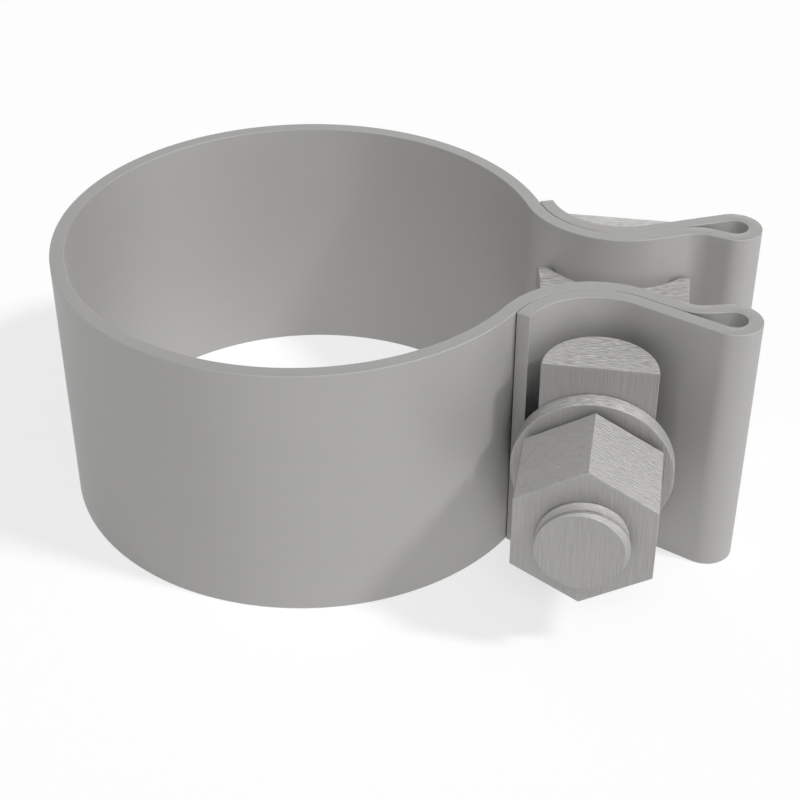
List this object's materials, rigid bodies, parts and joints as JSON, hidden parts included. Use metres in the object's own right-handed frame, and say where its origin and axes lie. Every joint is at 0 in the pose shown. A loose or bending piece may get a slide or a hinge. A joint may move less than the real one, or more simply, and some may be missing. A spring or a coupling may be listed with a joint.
{
  "type": "exhaust clamp",
  "caption": "Flat-band exhaust clamp: folded strip ring with doubled ears, reaction block, half-round bars and a cross bolt with washer and nut.",
  "frame": {"origin": "centre of the band's pipe bore, on the band's lower edge", "axes": "+Z along the pipe bore, +X out along the two ears, bolt along Y with its nut on the -Y side"},
  "size_m": [0.0772, 0.0583, 0.03],
  "materials": {
    "strip_steel": "satin rolled strip",
    "block_steel": "sawn and brushed",
    "bar_steel": "sawn and brushed",
    "fastener_steel": "brushed"
  },
  "bodies": {
    "band": {"band": "strip_steel", "reaction_block": "block_steel"},
    "head_side_bar": {"head_side_bar": "bar_steel"},
    "bolt": {"bolt": "fastener_steel"},
    "nut_side_bar": {"nut_side_bar": "bar_steel"},
    "washer": {"washer": "fastener_steel"},
    "nut": {"nut": "fastener_steel"}
  },
  "joints": [
    {"name": "head_bar_take_up", "type": "slide", "parent": "band", "child": "head_side_bar", "axis": [0, -1, 0], "range_m": [0, 0.00175]},
    {"name": "bolt_turn", "type": "hinge", "parent": "head_side_bar", "child": "bolt", "pos_m": [0.03385, 0, 0.015], "axis": [0, -1, 0], "range_deg": [0, 792]},
    {"name": "nut_bar_take_up", "type": "slide", "parent": "band", "child": "nut_side_bar", "axis": [0, 1, 0], "range_m": [0, 0.00175]},
    {"name": "nut_travel", "type": "slide", "parent": "nut_side_bar", "child": "washer", "axis": [0, -1, 0], "range_m": [0, 0.01111]},
    {"name": "nut_turn", "type": "hinge", "parent": "washer", "child": "nut", "pos_m": [0.03385, -0.0237, 0.015], "axis": [0, -1, 0], "range_deg": [0, 2520]}
  ],
  "couplings": [
    {"joint": "bolt_turn", "follows": "head_bar_take_up", "rad_per_m": 7915.8},
    {"joint": "nut_bar_take_up", "follows": "head_bar_take_up", "ratio": 1},
    {"joint": "nut_turn", "follows": "nut_travel", "rad_per_m": 3957.9}
  ]
}
